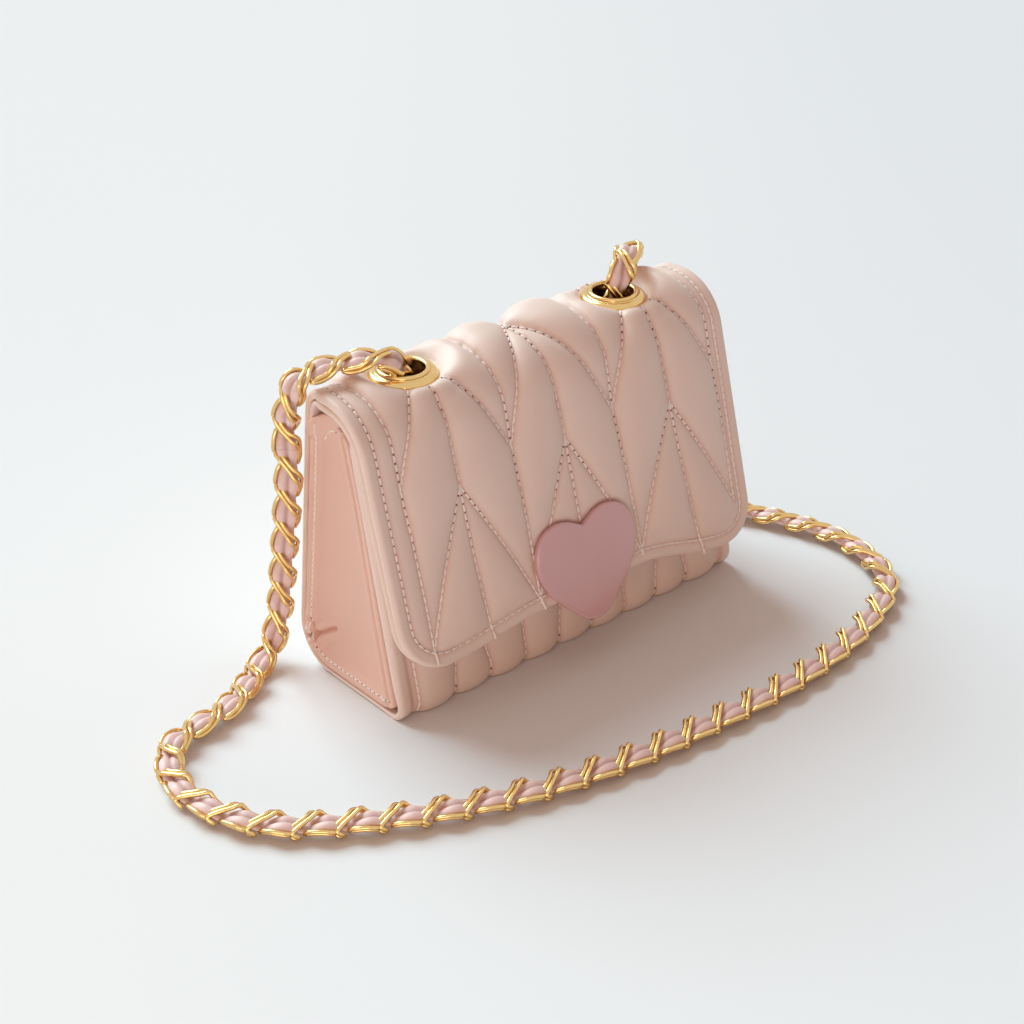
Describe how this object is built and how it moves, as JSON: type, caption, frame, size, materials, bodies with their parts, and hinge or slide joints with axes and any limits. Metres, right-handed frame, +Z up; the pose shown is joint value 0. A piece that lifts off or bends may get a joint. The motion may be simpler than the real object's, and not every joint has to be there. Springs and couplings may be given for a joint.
{
  "type": "crossbody bag",
  "caption": "Small quilted crossbody bag with a fold-over flap, heart-shaped plate, eyelets and a woven chain strap laid on the floor.",
  "frame": {"origin": "on the floor, at the middle of the flat base", "axes": "+X along the bag to the viewer's right when facing its front, -Y out of the front (the flap and heart), +Z up"},
  "size_m": [0.2814, 0.1413, 0.1249],
  "materials": {
    "blush_leather": "smooth satin, quilted",
    "foam_wadding": "soft matte",
    "stiffening_board": "matte",
    "lining_cloth": "fine weave",
    "gold_metal": "polished, pale gold plating",
    "washer_steel": "plain",
    "rose_enamel": "glossy",
    "strap_ribbon": "satin ribbon through polished gold links"
  },
  "bodies": {
    "bag": {"front_panel": "blush_leather", "base_panel": "blush_leather", "back_panel": "blush_leather", "gusset_left": "blush_leather", "gusset_right": "blush_leather", "flap_fold": "blush_leather", "tab_left": "blush_leather", "tab_right": "blush_leather", "front_wadding": "foam_wadding", "back_wadding": "foam_wadding", "base_board": "stiffening_board", "back_board": "stiffening_board", "lining_bag": "lining_cloth", "slip_pocket": "lining_cloth", "snap_socket": "gold_metal", "snap_socket_washer": "washer_steel", "strap_run": "strap_ribbon", "strap_end_left": "strap_ribbon", "strap_end_right": "strap_ribbon"},
    "flap": {"flap_outer": "blush_leather", "flap_wadding": "foam_wadding", "flap_lining": "blush_leather", "heart_plate": "rose_enamel", "heart_washers": "washer_steel", "snap_stud": "gold_metal", "snap_stud_washer": "washer_steel", "eyelet_left": "gold_metal", "eyelet_right": "gold_metal", "eyelet_washer_left": "gold_metal", "eyelet_washer_right": "gold_metal"},
    "d_ring_left": {"d_ring_left": "gold_metal", "end_link_left": "gold_metal"},
    "d_ring_right": {"d_ring_right": "gold_metal", "end_link_right": "gold_metal"}
  },
  "joints": [
    {"name": "flap_hinge", "type": "hinge", "parent": "bag", "child": "flap", "pos_m": [0, 0.0173, 0.102], "axis": [-1, 0, 0], "range_deg": [0, 120], "deforming": ["flap_fold", "strap_end_left", "strap_end_right"]},
    {"name": "ring_swing_left", "type": "hinge", "parent": "bag", "child": "d_ring_left", "pos_m": [-0.047, 0.01249, 0.08], "axis": [1, 0, 0], "range_deg": [-10, 30], "deforming": ["strap_end_left"]},
    {"name": "ring_swing_right", "type": "hinge", "parent": "bag", "child": "d_ring_right", "pos_m": [0.047, 0.01249, 0.08], "axis": [1, 0, 0], "range_deg": [-10, 30], "deforming": ["strap_end_right"]}
  ]
}
